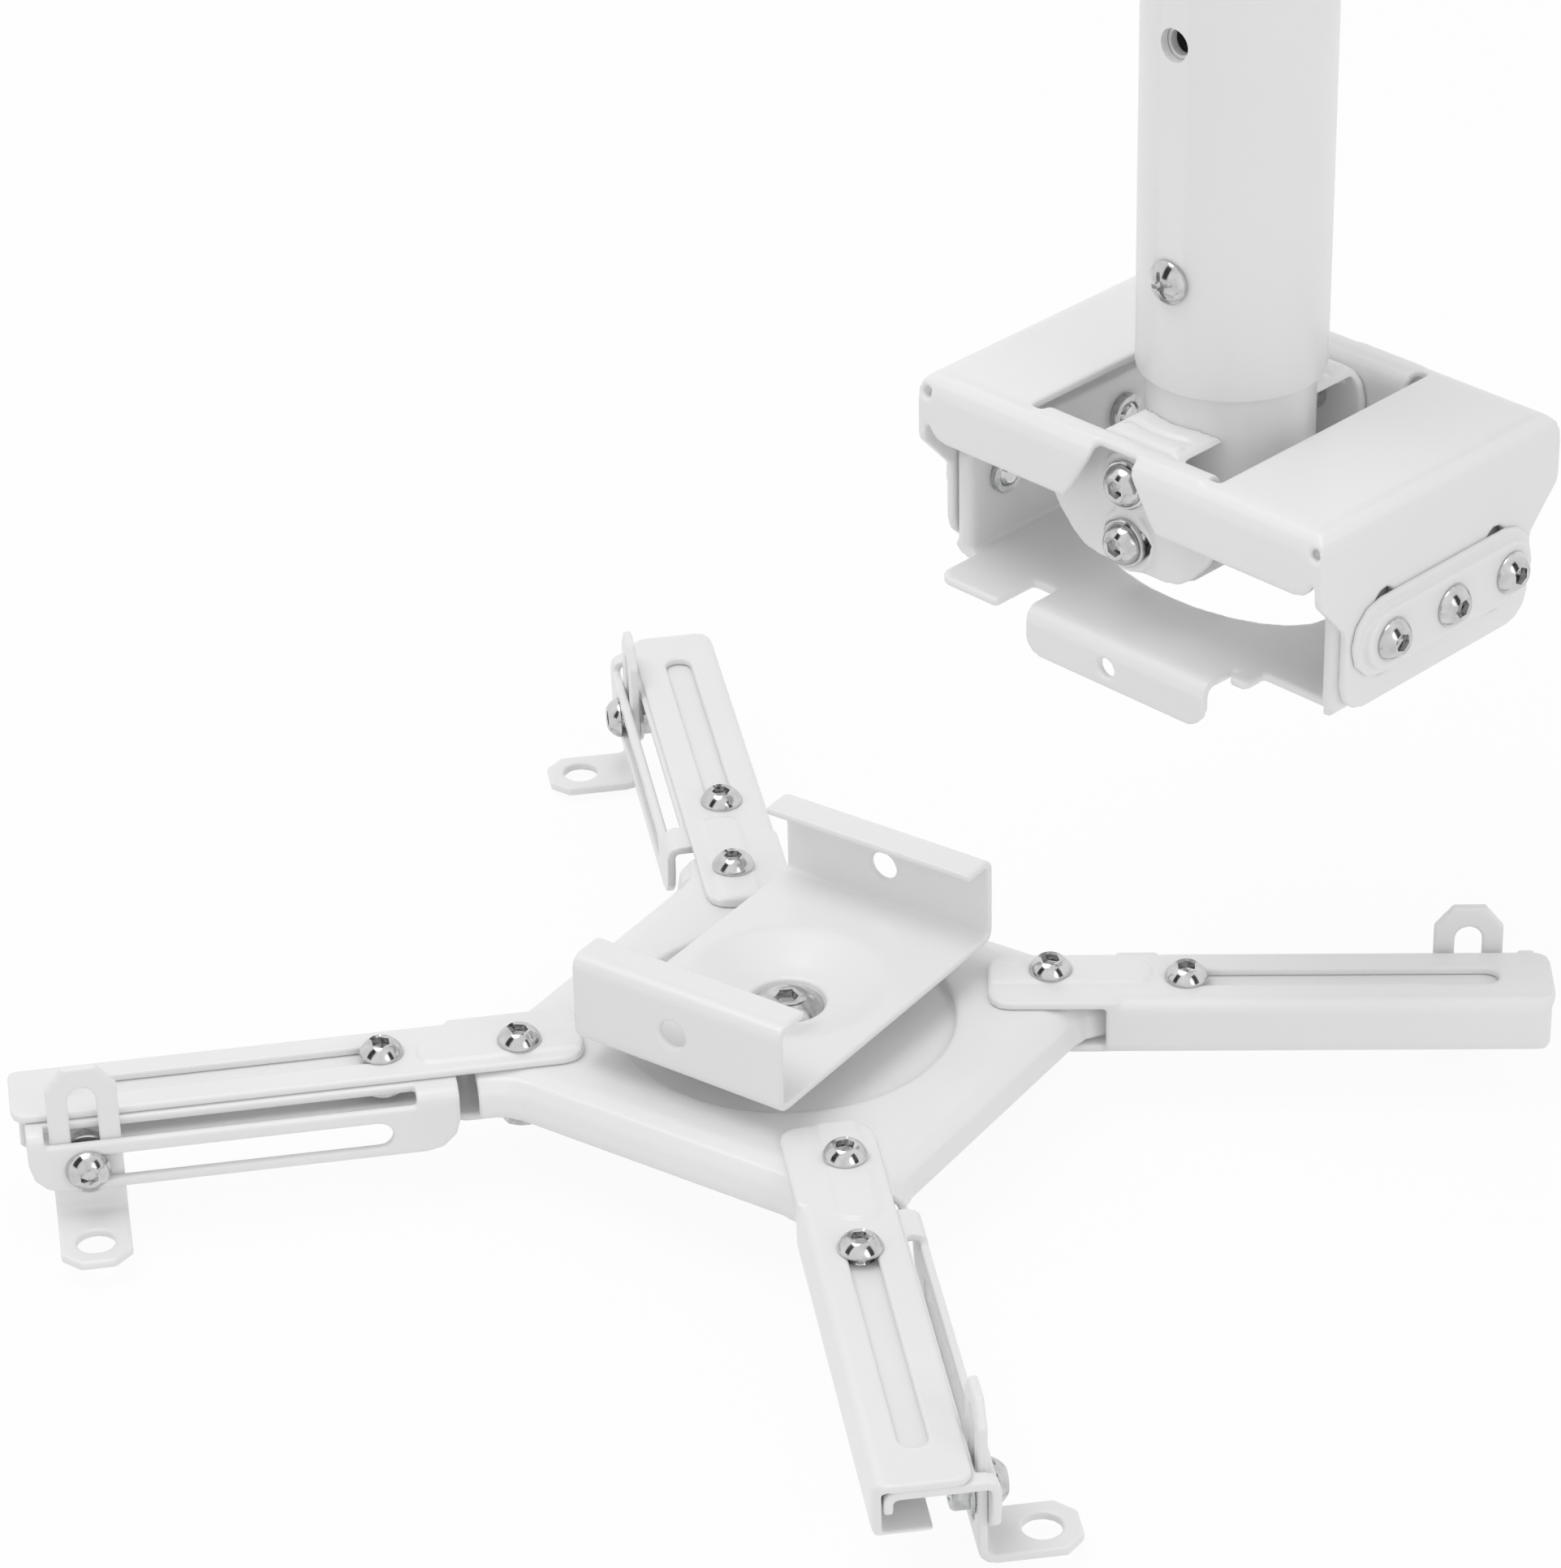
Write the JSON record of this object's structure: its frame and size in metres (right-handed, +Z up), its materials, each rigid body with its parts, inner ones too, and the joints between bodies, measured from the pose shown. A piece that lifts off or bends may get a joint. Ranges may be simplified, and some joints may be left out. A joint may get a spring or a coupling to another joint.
{
  "type": "projector ceiling mount",
  "caption": "White steel projector ceiling mount: telescoping round column, head that rolls and pitches, and a swivelling spider with swinging, sliding arms and height-adjustable feet.",
  "frame": {"origin": "centre of the ceiling plate's top face, on the column's axis", "axes": "+Z up into the ceiling along the column, X along the head's long side, -Y towards the head's front face"},
  "size_m": [0.3227, 0.3422, 0.6005],
  "materials": {
    "white_steel": "gloss white paint",
    "chrome": "bright plated",
    "zinc_steel": "zinc plated"
  },
  "bodies": {
    "ceiling": {"ceiling_plate": "white_steel", "base_collar": "white_steel", "inner_tube": "white_steel"},
    "column": {"outer_tube": "white_steel", "height_screws": "chrome", "neck_screw": "chrome", "neck_tube": "white_steel", "yoke": "white_steel", "roll_pivot_bolts": "chrome", "roll_pivot_washers": "chrome", "roll_pivot_nuts": "zinc_steel", "roll_lock_bolts": "chrome", "roll_lock_washers": "chrome", "roll_lock_nuts": "zinc_steel"},
    "head": {"tilt_frame": "white_steel"},
    "cradle": {"cradle": "white_steel", "end_strip_left": "white_steel", "end_strip_right": "white_steel", "pitch_bolts": "chrome", "threaded_inserts": "zinc_steel"},
    "saddle": {"saddle_base": "white_steel", "saddle_front_wall": "white_steel", "saddle_rear_wall": "white_steel", "centre_bolt": "chrome", "centre_nut": "zinc_steel"},
    "plate": {"spider_plate": "white_steel", "centre_washer": "chrome", "pivot_bolts": "chrome", "pivot_nuts": "zinc_steel"},
    "left arm": {"left_arm": "white_steel"},
    "left extension": {"left_extension": "white_steel", "left_clamp_bolt": "chrome", "left_clamp_nut": "zinc_steel"},
    "left foot bolt": {"left_foot_bolt": "chrome", "left_foot_nut": "zinc_steel"},
    "left foot": {"left_foot_tab": "white_steel"},
    "front arm": {"front_arm": "white_steel"},
    "front extension": {"front_extension": "white_steel", "front_clamp_bolt": "chrome", "front_clamp_nut": "zinc_steel"},
    "front foot bolt": {"front_foot_bolt": "chrome", "front_foot_nut": "zinc_steel"},
    "front foot": {"front_foot_tab": "white_steel"},
    "right arm": {"right_arm": "white_steel"},
    "right extension": {"right_extension": "white_steel", "right_clamp_bolt": "chrome", "right_clamp_nut": "zinc_steel"},
    "right foot bolt": {"right_foot_bolt": "chrome", "right_foot_nut": "zinc_steel"},
    "right foot": {"right_foot_tab": "white_steel"},
    "back arm": {"back_arm": "white_steel"},
    "back extension": {"back_extension": "white_steel", "back_clamp_bolt": "chrome", "back_clamp_nut": "zinc_steel"},
    "back foot bolt": {"back_foot_bolt": "chrome", "back_foot_nut": "zinc_steel"},
    "back foot": {"back_foot_tab": "white_steel"}
  },
  "joints": [
    {"name": "column_height", "type": "slide", "parent": "ceiling", "child": "column", "axis": [0, 0, 1], "range_m": [0, 0.08]},
    {"name": "head_roll", "type": "hinge", "parent": "column", "child": "head", "pos_m": [0, 0, -0.4486], "axis": [0, 1, 0], "range_deg": [-14.5, 14.5]},
    {"name": "cradle_pitch", "type": "hinge", "parent": "head", "child": "cradle", "pos_m": [0, 0, -0.4696], "axis": [1, 0, 0], "range_deg": [-15, 15]},
    {"name": "spider_lift", "type": "slide", "parent": "ceiling", "child": "saddle", "axis": [0, 0, 1], "range_m": [0, 0.02]},
    {"name": "plate_swivel", "type": "hinge", "parent": "saddle", "child": "plate", "pos_m": [-0.0349, -0.1156, -0.5653], "axis": [0, 0, 1], "continuous": true},
    {"name": "left_arm_swing", "type": "hinge", "parent": "plate", "child": "left arm", "pos_m": [-0.07013, -0.16944, -0.5653], "axis": [0, 0, 1], "range_deg": [-27.8, 32.2]},
    {"name": "left_extension_slide", "type": "slide", "parent": "left arm", "child": "left extension", "axis": [-0.5793, -0.8151, 0], "range_m": [0, 0.06]},
    {"name": "left_foot_bolt_slide", "type": "slide", "parent": "left extension", "child": "left foot bolt", "axis": [-0.5793, -0.8151, 0], "range_m": [-0.0675, 0.0007]},
    {"name": "left_foot_height", "type": "slide", "parent": "left foot bolt", "child": "left foot", "axis": [0, 0, 1], "range_m": [-0.0175, 0.0042]},
    {"name": "front_arm_swing", "type": "hinge", "parent": "plate", "child": "front arm", "pos_m": [0.01894, -0.15083, -0.5653], "axis": [0, 0, 1], "range_deg": [-26.7, 33.3]},
    {"name": "front_extension_slide", "type": "slide", "parent": "front arm", "child": "front extension", "axis": [0.8039, -0.5948, 0], "range_m": [-0.0024, 0.0576]},
    {"name": "front_foot_bolt_slide", "type": "slide", "parent": "front extension", "child": "front foot bolt", "axis": [0.8039, -0.5948, 0], "range_m": [-0.0679, 0.0003]},
    {"name": "front_foot_height", "type": "slide", "parent": "front foot bolt", "child": "front foot", "axis": [0, 0, 1], "range_m": [-0.0165, 0.0052]},
    {"name": "right_arm_swing", "type": "hinge", "parent": "plate", "child": "right arm", "pos_m": [0.00033, -0.06176, -0.5653], "axis": [0, 0, 1], "range_deg": [-16.9, 43.1]},
    {"name": "right_extension_slide", "type": "slide", "parent": "right arm", "child": "right extension", "axis": [0.723, 0.6909, 0], "range_m": [0, 0.06]},
    {"name": "right_foot_bolt_slide", "type": "slide", "parent": "right extension", "child": "right foot bolt", "axis": [0.723, 0.6909, 0], "range_m": [-0.065, 0.0032]},
    {"name": "right_foot_height", "type": "slide", "parent": "right foot bolt", "child": "right foot", "axis": [0, 0, 1], "range_m": [-0.0145, 0.0072]},
    {"name": "back_arm_swing", "type": "hinge", "parent": "plate", "child": "back arm", "pos_m": [-0.08874, -0.08037, -0.5653], "axis": [0, 0, 1], "range_deg": [-27.9, 32.1]},
    {"name": "back_extension_slide", "type": "slide", "parent": "back arm", "child": "back extension", "axis": [-0.8161, 0.5779, 0], "range_m": [0, 0.06]},
    {"name": "back_foot_bolt_slide", "type": "slide", "parent": "back extension", "child": "back foot bolt", "axis": [-0.8161, 0.5779, 0], "range_m": [-0.065, 0.0032]},
    {"name": "back_foot_height", "type": "slide", "parent": "back foot bolt", "child": "back foot", "axis": [0, 0, 1], "range_m": [-0.0145, 0.0072]}
  ]
}
